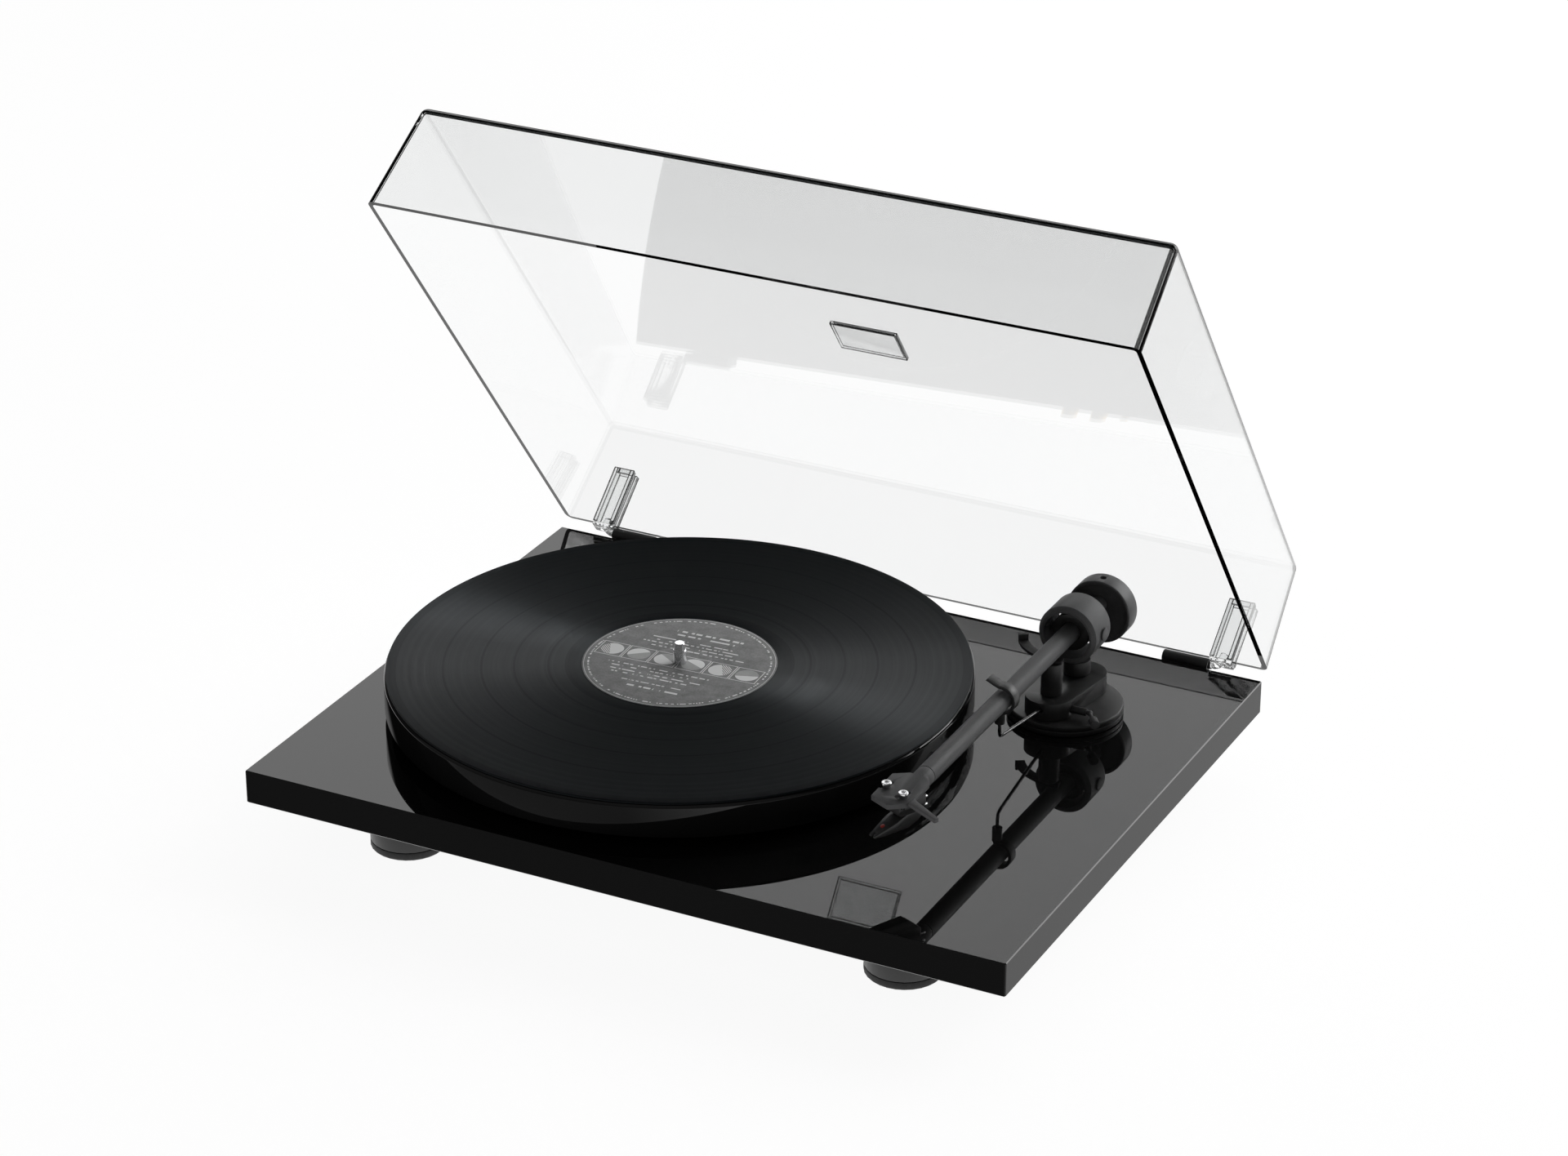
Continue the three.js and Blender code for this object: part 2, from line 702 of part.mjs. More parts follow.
// Curved rail under the tube, concentric with the arm's pivot, on a plunger in the post.
function addLift() {
  const railInner = 25.5;
  const railOuter = 30.5;
  const railBottom = postTop + 0.4;
  const railTop = railBottom + 1.6;
  const upright = -Math.PI / 2;
  const sweep = (from, to, z0, z1) => {
    const outline = [];
    const steps = 16;
    for (let i = 0; i <= steps; i++) {
      const angle = upright + from + ((to - from) * i) / steps;
      outline.push([pivotX + railOuter * Math.cos(angle), pivotY + railOuter * Math.sin(angle)]);
    }
    for (let i = steps; i >= 0; i--) {
      const angle = upright + from + ((to - from) * i) / steps;
      outline.push([pivotX + railInner * Math.cos(angle), pivotY + railInner * Math.sin(angle)]);
    }
    return prism(outline.reverse(), z0, z1);
  };
  const degrees = THREE.MathUtils.degToRad;
  const rail = sweep(degrees(8), degrees(-56.5), railBottom, railTop);
  const tip = sweep(degrees(-56), degrees(-60), railBottom, railTop + 3);
  const plunger = disc(postX, postY, 1.5, deck + 22, railBottom + 0.5, 20);
  place("lift_rail", join(rail, tip, plunger), rubber, { roughness: 0.7 });

  const bushStart = 138.6;
  const bushEnd = 148;
  const axisY = postY - 1;
  const bush = [[1.1, bushStart], [2, bushStart], [2, bushEnd], [1.1, bushEnd]];
  place("lever_bush", turnedAlongX(axisY, leverZ, bush, 24), rubber, { roughness: 0.5 });
  const shaftEnd = bushEnd + 1.4;
  const shaft = turnedAlongX(axisY, leverZ, [[0, bushStart], [1, bushStart], [1, shaftEnd], [0, shaftEnd]], 20);
  const hub = new THREE.SphereGeometry(1.5, 16, 12).translate(bushEnd + 1.6, axisY, leverZ);
  const start = [bushEnd + 1.6, axisY, leverZ];
  const along = new THREE.Vector3(0.57, -0.82, 0.02).normalize();
  const reach = (distance) => start.map((value, i) => value + along.getComponent(i) * distance);
  const stalk = rod([start, reach(5), reach(10)], 1, 4);
  const knob = rod([reach(8), reach(11), reach(14)], 2.4, 4);
  place("cue_lever", join(shaft, hub, stalk, knob), steel, { metalness: 0.9, roughness: 0.3 });
}

function addArmRest() {
  const cornerZ = deck + 21.6;
  const socketBottom = deck + 29.4;
  const wire = rod(
    [
      [wireX, 58, deck + 12.2],
      [wireX + 0.2, 40, deck + 15.3],
      [wireX + 0.6, restY + 4, cornerZ - 0.7],
      [wireX + 0.8, restY + 0.6, cornerZ + 0.7],
      [wireX + 0.8, restY, cornerZ + 3],
      [wireX + 0.8, restY, socketBottom + 3],
    ],
    0.9,
    24,
    0.25,
  );
  place("rest_wire", wire, steel, { metalness: 1, roughness: 0.2 });

  // C shape seen along the tube, open towards the platter, with a lead-in tab over the mouth.
  const innerRadius = 6.2;
  const outerRadius = 7.8;
  const centreZ = armHeight + 0.5;
  const from = THREE.MathUtils.degToRad(-108);
  const to = THREE.MathUtils.degToRad(100);
  const outline = [];
  const steps = 28;
  const arcPoint = (radius, angle) => [pivotX + radius * Math.cos(angle), centreZ + radius * Math.sin(angle)];
  for (let i = 0; i <= steps; i++) outline.push(arcPoint(outerRadius, from + ((to - from) * i) / steps));
  outline.push([pivotX - 7.2, centreZ + 10.4], [pivotX - 8.2, centreZ + 9.2]);
  for (let i = steps; i >= 0; i--) outline.push(arcPoint(innerRadius, from + ((to - from) * i) / steps));
  const band = prismAlongY(outline, restY - 3, restY + 3);
  const socket = disc(wireX + 0.8, restY, 2.6, socketBottom, centreZ - innerRadius - 0.5, 20);
  const hole = disc(wireX + 0.8, restY, 1.2, socketBottom - 1, socketBottom + 4, 16);
  place("rest_clip", cut(join(band, socket), hole), gloss, { roughness: 0.3 });
}

function addBearing() {
  const ring = [
    [12.6, ringFront],
    [13.8, ringFront],
    [ringRadius, ringFront + 1.8],
    [ringRadius, ringRear - 0.6],
    [ringRadius - 0.6, ringRear],
    [12.6, ringRear],
  ];
  const neckBottom = deck + 24.3;
  const neck = disc(pivotX, pivotY, 4.8, neckBottom, armHeight - 13.4, 32);
  const screwHoles = turnedAlongX(tiltAxisY, armHeight, [[0, 100], [2.3, 100], [2.3, 160], [0, 160]], 24);
  const axleHole = disc(pivotX, pivotY, axleRadius + gap, neckBottom - 1, neckBottom + 3, 24);
  const ringBody = join(turnedAlongY(pivotX, armHeight, ring, 56), neck);
  place("bearing_ring", cut(ringBody, screwHoles, axleHole), graphite, { metalness: 0.7, roughness: 0.35 });
  place("swing_axle", disc(pivotX, pivotY, axleRadius, deck + 11.3, neckBottom + 2.6, 24), steel, {
    metalness: 1,
    roughness: 0.2,
  });

  const screw = [
    [0, 10.9],
    [2, 11.8],
    [2, ringRadius + 0.1],
    [3.4, ringRadius + 0.1],
    [3.4, ringRadius + 1],
    [0, ringRadius + 1],
  ];
  for (const [side, sign] of [["left", -1], ["right", 1]]) {
    const body = turnedAlongX(0, 0, screw, 24).rotateZ(sign < 0 ? Math.PI : 0);
    place("pivot_screw_" + side, body.translate(pivotX, tiltAxisY, armHeight), steel, {
      metalness: 0.9,
      roughness: 0.3,
    });
  }
}

function addArm() {
  const tubeRear = pivotY + 8;
  const bore = armTubeRadius - 0.8;
  const tube = [
    [bore, tubeFront],
    [armTubeRadius, tubeFront],
    [armTubeRadius, tubeRear],
    [bore, tubeRear],
  ];
  place("arm_tube", turnedAlongY(pivotX, armHeight, tube), graphite, { metalness: 0.6, roughness: 0.35 });

  const blockRear = tiltAxisY + 6;
  const carrier = [
    [armTubeRadius + gap, tiltAxisY - 6],
    [10, tiltAxisY - 6],
    [10, blockRear],
    [armTubeRadius + gap, blockRear],
  ];
  place("pivot_carrier", turnedAlongY(pivotX, armHeight, carrier), 0x8b8e90, { metalness: 0.7, roughness: 0.4 });

  const stub = [
    [0, pivotY - 4],
    [bore - 0.2, pivotY - 4],
    [bore - 0.2, pivotY + 41.5],
    [0, pivotY + 41.5],
  ];
  place("weight_stub", turnedAlongY(pivotX, armHeight, stub, 32), steel, { metalness: 0.9, roughness: 0.3 });

  const weightZ = armHeight - weightDrop;
  const weightRear = weightFront + weightThickness;
  const weight = [
    [0, weightFront + 1.2],
    [weightRadius - 2.2, weightFront + 1.2],
    [weightRadius - 1.6, weightFront],
    [weightRadius - 0.5, weightFront],
    [weightRadius, weightFront + 0.5],
    [weightRadius, weightRear - 0.5],
    [weightRadius - 0.5, weightRear],
    [0, weightRear],
  ];
  const weightMiddle = weightFront + weightThickness / 2;
  const holeEnds = [[0, weightFront - 1], [bore, weightFront - 1], [bore, weightRear + 1], [0, weightRear + 1]];
  const hole = turnedAlongY(pivotX, armHeight, holeEnds, 32);
  const screwHole = disc(pivotX, weightMiddle, 1.7, armHeight, weightZ + weightRadius + 1, 20);
  const weightBody = cut(turnedAlongY(pivotX, weightZ, weight, 48), hole, screwHole);
  place("counterweight", weightBody, graphite, { metalness: 0.7, roughness: 0.35 });
  const screwBottom = armHeight + bore + 0.3;
  place("weight_screw", disc(pivotX, weightMiddle, 1.4, screwBottom, screwBottom + 4.5, 20), steel, {
    metalness: 1,
    roughness: 0.3,
  });
}

// The head is drawn in its own frame: +Y points to the pivot, x = 0 is the cartridge's middle line.
function addHead() {
  const plateTop = armHeight + 3.8;
  const plateBottom = plateTop - 2.6;
  const plate = [
    [-11.9, -193],
    [-11.5, -216.9],
    [-0.6, -222.3],
    [6.6, -217],
    [7.9, -213.4],
    [7.9, -193.8],
    [4.6, -188.4],
    [-4.6, -188.4],
  ].map(([x, y]) => [pivotX + x, pivotY + y]);
  const lift = [
    [6, -209.5],
    [5.5, -214.8],
    [25.3, -225.2],
    [26.3, -222.8],
  ].map(([x, y]) => [pivotX + x, pivotY + y]);
  const neckFront = pivotY - 192;
  const plugRadius = armTubeRadius - 1.1;
  const neck = turnedAlongY(
    pivotX,
    armHeight,
    [
      [0, neckFront],
      [3.4, neckFront],
      [armTubeRadius - 0.1, neckFront + 6],
      [armTubeRadius - 0.1, tubeFront - gap],
      [plugRadius, tubeFront - gap],
      [plugRadius, tubeFront + 8],
      [0, tubeFront + 8],
    ],
    40,
  );
  const middle = [pivotX - 4.2, pivotY - 207.1];
  const inHead = (geometry) => geometry.rotateZ(-offsetAngle).translate(middle[0], middle[1], 0);
  const tools = [-1, 1].map((side) => {
    const x = (side * screwSpacing) / 2;
    return inHead(prism(pill(x, -3, x, 3, 1.5, 10), plateBottom - 1, plateTop + 1));
  });
  const shell = join(prism(plate, plateBottom, plateTop), prism(lift, plateTop - 2, plateTop - 0.2), neck);
  place("headshell", cut(shell, ...tools), graphite, { metalness: 0.6, roughness: 0.4 });

  for (const [side, sign] of [["left", -1], ["right", 1]]) {
    const profile = [
      [0, plateBottom - 3.5],
      [1.2, plateBottom - 3.5],
      [1.2, plateTop + 0.1],
      [2.2, plateTop + 0.1],
      [2.2, plateTop + 2.3],
      [1.2, plateTop + 2.3],
      [1.2, plateTop + 1.1],
      [0, plateTop + 1.1],
    ];
    const screw = inHead(turned((sign * screwSpacing) / 2, 0, profile, 24));
    place("cartridge_screw_" + side, screw, steel, { metalness: 1, roughness: 0.15 });
  }

  // Side outline of the cartridge as [y, z]: flat top under the plate, nose sloping down to the front.
  const top = plateBottom - gap;
  const noseZ = deck + 27;
  const side = [
    [9, top],
    [9, noseZ + 6],
    [4, noseZ + 2.2],
    [-2, noseZ + 1.6],
    [-5, noseZ + 8.5],
    [-5, top],
  ];
  const cartridge = prismAlongX(side, -8.4, 8.4);
  const bores = [-1, 1].map((s) => disc((s * screwSpacing) / 2, 0, 1.5, noseZ, top + 1, 20));
  place("cartridge", inHead(cut(cartridge, ...bores)), 0x2c2d30, { roughness: 0.4 });
  const guard = [
    [-5.3, noseZ + 8.2],
    [-2.3, noseZ + 1.3],
    [3.5, noseZ + 1.8],
    [3.5, noseZ + 0.4],
    [-3, noseZ - 1],
    [-12.6, noseZ - 0.4],
    [-13.2, noseZ + 0.6],
    [-5.6, noseZ + 12],
  ];
  const guardBody = prismAlongX(guard, -4.4, 4.4);
  const stylus = turned(0, -9.5, [[0, deck + 24.7], [0.5, deck + 25.4], [0.5, noseZ], [0, noseZ]], 12);
  place("stylus_unit", inHead(join(guardBody, stylus)), 0x3a2022, { roughness: 0.4 });
}

addPlinth();
addFeet();
addUndersideParts();
addDrive();
addPlatter();
addTerminals();
addDustCover();
addArmBase();
addLift();
addArmRest();
addBearing();
addArm();
addHead();

export default turntable;
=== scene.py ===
import json
import math

import bmesh
import bpy
from mathutils import Matrix, Vector

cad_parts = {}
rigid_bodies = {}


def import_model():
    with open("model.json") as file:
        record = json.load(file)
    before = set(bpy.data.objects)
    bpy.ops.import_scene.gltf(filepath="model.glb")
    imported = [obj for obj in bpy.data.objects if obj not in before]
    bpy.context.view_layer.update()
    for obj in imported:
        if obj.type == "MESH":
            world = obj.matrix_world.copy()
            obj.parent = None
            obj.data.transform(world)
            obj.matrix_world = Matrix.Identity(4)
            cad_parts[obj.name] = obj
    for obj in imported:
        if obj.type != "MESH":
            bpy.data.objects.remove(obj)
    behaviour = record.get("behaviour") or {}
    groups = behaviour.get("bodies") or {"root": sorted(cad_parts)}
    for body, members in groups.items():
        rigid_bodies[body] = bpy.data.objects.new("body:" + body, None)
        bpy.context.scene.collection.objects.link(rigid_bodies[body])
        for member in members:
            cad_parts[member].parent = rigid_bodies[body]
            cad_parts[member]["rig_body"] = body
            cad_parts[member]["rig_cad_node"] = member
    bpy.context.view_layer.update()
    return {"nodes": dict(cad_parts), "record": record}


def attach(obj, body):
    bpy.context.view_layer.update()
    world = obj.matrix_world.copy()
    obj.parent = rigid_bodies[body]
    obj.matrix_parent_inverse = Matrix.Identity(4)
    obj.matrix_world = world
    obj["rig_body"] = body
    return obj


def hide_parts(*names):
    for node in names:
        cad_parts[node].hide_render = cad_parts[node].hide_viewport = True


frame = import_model()
nodes = frame["nodes"]
mm = 0.001
deck = 43 * mm  # top of the plinth
plinthY = -26.49 * mm  # middle of the plinth
spindle = (-48 * mm, plinthY + 0.7 * mm)
pivot = Vector((130 * mm, plinthY + 97.5 * mm, deck + 43 * mm))  # where the arm's swing meets the tube
hinge = Vector((0, plinthY + 163.9 * mm, deck + 0.4 * mm))
openAngle = math.radians(52.8)
print("frame loaded,", len(nodes), "nodes")


class Wire:  # a socket in a material's tree; arithmetic on it adds Math nodes
    def __init__(self, tree, socket):
        self.tree = tree
        self.socket = socket

    def math(self, operation, other=0.0, flipped=False):
        values = {0: other, 1: self} if flipped else {0: self, 1: other}
        return addNode(self.tree, "ShaderNodeMath", {"operation": operation}, values)

    def __add__(self, other):
        return self.math("ADD", other)

    def __sub__(self, other):
        return self.math("SUBTRACT", other)

    def __mul__(self, other):
        return self.math("MULTIPLY", other)

    def __truediv__(self, other):
        return self.math("DIVIDE", other)

    def __rsub__(self, other):
        return self.math("SUBTRACT", other, True)

    def __lt__(self, other):
        return self.math("LESS_THAN", other)

    def __gt__(self, other):
        return self.math("GREATER_THAN", other)

    __radd__ = __add__
    __rmul__ = __mul__


def addNode(tree, kind, settings=None, values=None, out=0):
    node = tree.nodes.new(kind)
    for key, value in (settings or {}).items():
        setattr(node, key, value)
    for key, value in (values or {}).items():
        if isinstance(value, Wire):
            tree.links.new(value.socket, node.inputs[key])
        else:
            node.inputs[key].default_value = value
    return Wire(tree, node.outputs[out])


def mixColor(tree, factor, one, two):
    return addNode(tree, "ShaderNodeMix", {"data_type": "RGBA"}, {0: factor, 6: one, 7: two}, 2)


def gray(value, tint=(1, 1, 1)):
    return (value * tint[0], value * tint[1], value * tint[2], 1)


class Finish:  # one material with its Principled shader
    def __init__(self, name, color=0.02, tint=(1, 1, 1), **constants):
        self.material = bpy.data.materials.new(name)
        self.material.use_nodes = True
        self.tree = self.material.node_tree
        self.shader = self.tree.nodes["Principled BSDF"]
        self.shader.inputs["Base Color"].default_value = gray(color, tint)
        for key, value in constants.items():
            self.shader.inputs[key.replace("_", " ")].default_value = value
        self.place = addNode(self.tree, "ShaderNodeTexCoord", {}, {}, 3)

    def feed(self, name, wire):
        self.tree.links.new(wire.socket, self.shader.inputs[name])

    def node(self, kind, settings=None, values=None, out=0):
        return addNode(self.tree, kind, settings, values, out)

    def noise(self, scale, detail=3.0, rough=0.5, where=None):
        values = {"Vector": where or self.place, "Scale": scale, "Detail": detail, "Roughness": rough}
        return self.node("ShaderNodeTexNoise", {}, values)

    def spread(self, wire, low, high, toLow, toHigh):
        return self.node("ShaderNodeMapRange", {}, {0: wire, 1: low, 2: high, 3: toLow, 4: toHigh})

    def bump(self, height, distance, strength=1.0):
        values = {"Height": height, "Distance": distance, "Strength": strength}
        self.feed("Normal", self.node("ShaderNodeBump", {}, values))

    def split(self, where=None):
        parts = self.node("ShaderNodeSeparateXYZ", {}, {0: where or self.place})
        return [Wire(self.tree, parts.socket.node.outputs[i]) for i in range(3)]

    def radiusAbout(self, centre):
        x, y, z = self.split()
        dx, dy = x - centre[0], y - centre[1]
        return (dx * dx + dy * dy).math("SQRT"), dx, dy


finishes = {}


def plainFinish(name, color, roughness, spread=0.06, grain=900.0, depth=0.00002, tint=(1, 1, 1), **constants):
    made = Finish(name, color, tint, **constants)
    broad = made.noise(35.0, 4.0)
    fine = made.noise(grain, 3.0, 0.6)
    shade = made.spread(broad, 0.3, 0.7, 0.86, 1.14)
    dark, light = gray(color * 0.8, tint), gray(color * 1.2, tint)
    tone = made.spread(broad * 0.6 + fine * 0.4, 0.35, 0.65, 0, 1)
    made.feed("Base Color", mixColor(made.tree, tone, dark, light))
    made.feed("Roughness", shade * roughness + made.spread(fine, 0.3, 0.7, -spread / 2, spread / 2))
    made.bump(fine, depth, 0.35)
    finishes[name] = made.material
    return made


def makeLacquer(name, frontShadeCoat, sideShadeCoat):
    look = {"color": 0.006, "roughness": 0.01, "dust": 0.045}
    made = Finish(name, look["color"], (1, 1, 1.03))
    made.shader.inputs["Specular IOR Level"].default_value = 0.0
    made.shader.inputs["Coat Roughness"].default_value = look["roughness"]
    made.shader.inputs["Coat IOR"].default_value = 1.5
    # painted shade: the coat is thinned on faces turned to the front and to the sides, so that these faces
    # reflect less and look darker
    facing = made.split(made.node("ShaderNodeNewGeometry", {}, {}, 1))
    frontPaintedShade = made.spread(facing[1].math("ABSOLUTE"), 0.7, 0.95, 0.0, 1 - frontShadeCoat)
    sidePaintedShade = made.spread(facing[0].math("ABSOLUTE"), 0.7, 0.95, 0.0, 1 - sideShadeCoat)
    made.feed("Coat Weight", 1 - frontPaintedShade - sidePaintedShade)
    film = made.noise(9.0, 3.0)
    made.feed("Roughness", made.spread(film, 0.3, 0.7, 0.35, 0.5))
    specks = made.spread(made.noise(2600.0, 2.0, 0.7), 0.74, 0.8, 0.0, 0.5)
    made.feed("Base Color", mixColor(made.tree, specks, gray(look["color"]), gray(look["dust"])))
    finishes[name] = made.material


def makeVinyl():
    look = {
        "bands": (0.0668, 0.0842, 0.1009, 0.1203, 0.1441),
        "bandWidth": 0.0006,
        "pitch": 0.0011,
    }
    made = Finish(
        "vinyl", 0.003, Anisotropic=1.0, Anisotropic_Rotation=0.25,
        Specular_IOR_Level=0.3, Specular_Tint=(0.84, 0.93, 1, 1),
    )
    r, dx, dy = made.radiusAbout(spindle)
    groove = (r * (2 * math.pi / look["pitch"])).math("SINE")
    swell = made.noise(1.0, 5.0, 0.62, made.node("ShaderNodeCombineXYZ", {}, {0: r * 420.0}))
    smooth = (r > look["bands"][-1]).math("MAXIMUM", r < 0.0585)
    for at in look["bands"][:-1]:
        smooth = smooth.math("MAXIMUM", (r - at).math("ABSOLUTE") < look["bandWidth"])
    made.bump(groove * 0.3 + swell * 2.4, 0.00001, 0.5)
    made.feed("Roughness", made.spread(swell, 0.3, 0.7, 0.5, 0.6) + smooth * 0.14)
    low, high = (0.0005, 0.0008, 0.0011, 1), (0.0014, 0.002, 0.0026, 1)
    made.feed("Base Color", mixColor(made.tree, made.spread(swell, 0.35, 0.65, 0, 1), low, high))
    finishes["vinyl"] = made.material


def makeLabelPaper():
    look = {
        "paper": 0.2,
        "ink": 0.85,
        "turn": math.radians(3),
        "square": 7.0 * mm,
        "token": 6.0 * mm,
        # where each disc of the row sits, mm, and how far round its filled half is turned
        "discs": ((-38, 0.4), (-23, 2.2), (-8, 4.1), (7.5, 1.1), (22.5, 3.6), (37.5, 5.0)),
        # rows of short dashes: height on the label, half height of a dash, left and right ends, mm
        "rows": (
            (32, 0.9, -16, 22), (28, 0.75, -16, 18), (22, 0.5, -26, 20), (19, 0.5, -24, 24),
            (16, 0.5, -28, 22), (12.5, 0.5, -22, 30), (-12.5, 0.5, -34, 22), (-15.5, 0.5, -32, 12),
            (-19, 0.5, -30, 20), (-22, 0.5, -28, 14), (-28, 0.4, -22, 16), (-33, 0.8, -14, 14),
        ),
    }
    made = Finish("label_paper", look["paper"], Roughness=0.55)
    r, dx, dy = made.radiusAbout(spindle)
    c, s = math.cos(look["turn"]), math.sin(look["turn"])
    u, v = dx * c + dy * s, dy * c - dx * s

    def dashes(row, height, left, right):
        pitch = 620.0 if height < 0.6 else 380.0
        along = made.node("ShaderNodeCombineXYZ", {}, {0: u, 1: row * mm * 3.7})
        broken = made.noise(pitch, 0.0, 0.5, along) > 0.47
        return broken * ((v - row * mm).math("ABSOLUTE") < height * mm) * (u > left * mm) * (u < right * mm)

    ink = (r - 48.9 * mm).math("ABSOLUTE") < 0.12 * mm
    stripes = ((u + v) * 700.0).math("FRACT") < 0.5
    for index, (at, turn) in enumerate(look["discs"]):  # framed discs, each filled in its own way
        du = u - at * mm
        far = du.math("ABSOLUTE").math("MAXIMUM", v.math("ABSOLUTE"))
        square = (far - look["square"]).math("ABSOLUTE") < 0.22 * mm
        disc = (du * du + v * v).math("SQRT") < look["token"]
        half = (du * math.cos(turn) + v * math.sin(turn)) > (0.6 * mm if index % 2 else -1.2 * mm)
        rest = (1 - half) * stripes if index in (0, 4) else (1 - half) * 0.28
        ink = ink.math("MAXIMUM", square).math("MAXIMUM", disc * (half + rest))
    for row in look["rows"]:
        ink = ink.math("MAXIMUM", dashes(*row))
    around = dy.math("ARCTAN2", dx) * 0.045
    rim = made.noise(700.0, 0.0, 0.5, made.node("ShaderNodeCombineXYZ", {}, {0: around})) > 0.5
    ink = ink.math("MAXIMUM", rim * ((r - 46.6 * mm).math("ABSOLUTE") < 0.45 * mm))
    fibre = made.noise(1100.0, 5.0, 0.75)
    worn = made.spread(made.noise(160.0, 5.0, 0.7), 0.3, 0.7, 0.0, 1.0)
    tone = made.spread(fibre * 0.7 + worn * 0.3, 0.3, 0.7, 0.0, 1.0)
    paper = mixColor(made.tree, tone, gray(look["paper"] * 0.68), gray(look["paper"] * 1.4))
    made.feed("Base Color", mixColor(made.tree, ink * 0.92, paper, gray(look["ink"])))
    made.bump(fibre, 0.00002, 0.4)
    finishes["label_paper"] = made.material


def makeClear():
    look = {"tint": (0.972, 0.976, 0.976, 1), "ior": 1.49}
    made = Finish("clear", 1.0, Roughness=0.0, IOR=look["ior"], Transmission_Weight=1.0)
    edge = made.node("ShaderNodeAttribute", {"attribute_name": "edge"}, {}, 2)  # painted shade: where 1 the sheet's edge turns near black, standing in for the dark reflections that bent clear edges show
    made.feed("Base Color", mixColor(made.tree, edge, look["tint"], (0.0004, 0.0005, 0.0005, 1)))
    haze = made.spread(made.noise(6.0, 4.0), 0.3, 0.7, 0.0, 0.012)
    scuffs = made.spread(made.noise(700.0, 2.0, 0.8), 0.72, 0.78, 0.0, 0.05)
    made.feed("Roughness", haze + scuffs)
    output = made.tree.nodes["Material Output"]
    path = made.node("ShaderNodeLightPath", {}, {}, 1)
    through = made.node("ShaderNodeBsdfTransparent", {}, {"Color": (0.96, 0.965, 0.965, 1)})
    solid = Wire(made.tree, made.shader.outputs[0])
    both = made.node("ShaderNodeMixShader", {}, {0: path, 1: solid, 2: through})
    made.tree.links.new(both.socket, output.inputs["Surface"])
    finishes["clear"] = made.material


def makeFinishes():
    makeLacquer("gloss_black", 0.07, 0.62)
    makeLacquer("platter_gloss", 0.16, 0.4)
    makeVinyl()
    makeLabelPaper()
    makeClear()
    plainFinish("satin_black", 0.02, 0.4, 0.05, 1500.0, 0.00001)
    plainFinish("rubber_black", 0.012, 0.62, 0.1, 700.0, 0.00004)
    plainFinish("dark_plastic", 0.02, 0.4, 0.08, 1200.0, 0.00002)
    plainFinish(
        "graphite", 0.09, 0.5, 0.05, 1800.0, 0.000008, (1, 1, 1.02),
        Metallic=0.1, Specular_IOR_Level=0.2,
    )
    plainFinish("bright_steel", 0.72, 0.14, 0.04, 2400.0, 0.000003, (1, 1, 1.01), Metallic=1.0)
    plainFinish("brass", 0.6, 0.25, 0.05, 1600.0, 0.000004, (1.0, 0.72, 0.33), Metallic=1.0)
    plainFinish("felt", 0.02, 0.95, 0.05, 1400.0, 0.0001)
    plainFinish("board_green", 0.05, 0.4, 0.08, 500.0, 0.00003, (0.3, 1.0, 0.45))
    plainFinish("stylus_body", 0.028, 0.33, 0.05, 900.0, 0.00001)
    plainFinish(
        "dark_steel", 0.08, 0.46, 0.05, 1800.0, 0.000008, (1, 1, 1.02),
        Metallic=0.4, Specular_IOR_Level=0.3,
    )
    plainFinish("wire_steel", 0.16, 0.2, 0.04, 2400.0, 0.000003, Metallic=1.0)
    plainFinish("red_dot", 0.4, 0.4, 0.05, 900.0, 0.00001, (1.0, 0.05, 0.03))


makeFinishes()
for name, node in nodes.items():
    slotName = next(s["material_slot"] for s in frame["record"]["subparts"] if s["node"] == name)
    node.data.materials.clear()
    node.data.materials.append(finishes[slotName])
print("finishes made,", len(finishes))


def pickOnly(obj):
    if bpy.context.mode != "OBJECT":
        bpy.ops.object.mode_set(mode="OBJECT")
    bpy.ops.object.select_all(action="DESELECT")
    obj.select_set(True)
    bpy.context.view_layer.objects.active = obj


def selectFaces(obj, test):  # in edit mode: only the faces that pass
    mesh = bmesh.from_edit_mesh(obj.data)
    for part in (*mesh.verts, *mesh.edges, *mesh.faces):
        part.select = False
    for face in mesh.faces:
        face.select = bool(test(face))
    mesh.select_flush_mode()
    bmesh.update_edit_mesh(obj.data)


def selectEdges(obj, test):
    mesh = bmesh.from_edit_mesh(obj.data)
    for part in (*mesh.verts, *mesh.edges, *mesh.faces):
        part.select = False
    for edge in mesh.edges:
        edge.select = bool(test(edge))
    bmesh.update_edit_mesh(obj.data)


def editStart(obj):
    pickOnly(obj)
    bpy.ops.object.mode_set(mode="EDIT")
    bpy.ops.mesh.select_mode(type="FACE")


def editEnd(turnedOut=True):
    bpy.ops.mesh.select_all(action="SELECT")
    bpy.ops.mesh.remove_doubles(threshold=1e-6)
    if turnedOut:
        bpy.ops.mesh.normals_make_consistent(inside=False)
    bpy.ops.object.mode_set(mode="OBJECT")


def roundEdges(obj, width, segments=2, angle=28):
    pickOnly(obj)
    edge = obj.modifiers.new("round", "BEVEL")
    edge.width = width
    edge.segments = segments
    edge.limit_method = "ANGLE"
    edge.angle_limit = math.radians(angle)
    edge.use_clamp_overlap = True
    edge.harden_normals = False
    bpy.ops.object.modifier_apply(modifier=edge.name)


def done(obj, name, slotName, body, *replaced, smooth=32, look=None):
    pickOnly(obj)
    bpy.ops.object.transform_apply(location=True, rotation=True, scale=True)
    bpy.ops.object.shade_smooth_by_angle(angle=math.radians(smooth))
    obj.name = name
    obj.data.materials.clear()
    obj.data.materials.append(finishes[look or slotName])
    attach(obj, body)
    if replaced:
        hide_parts(*replaced)
    return obj


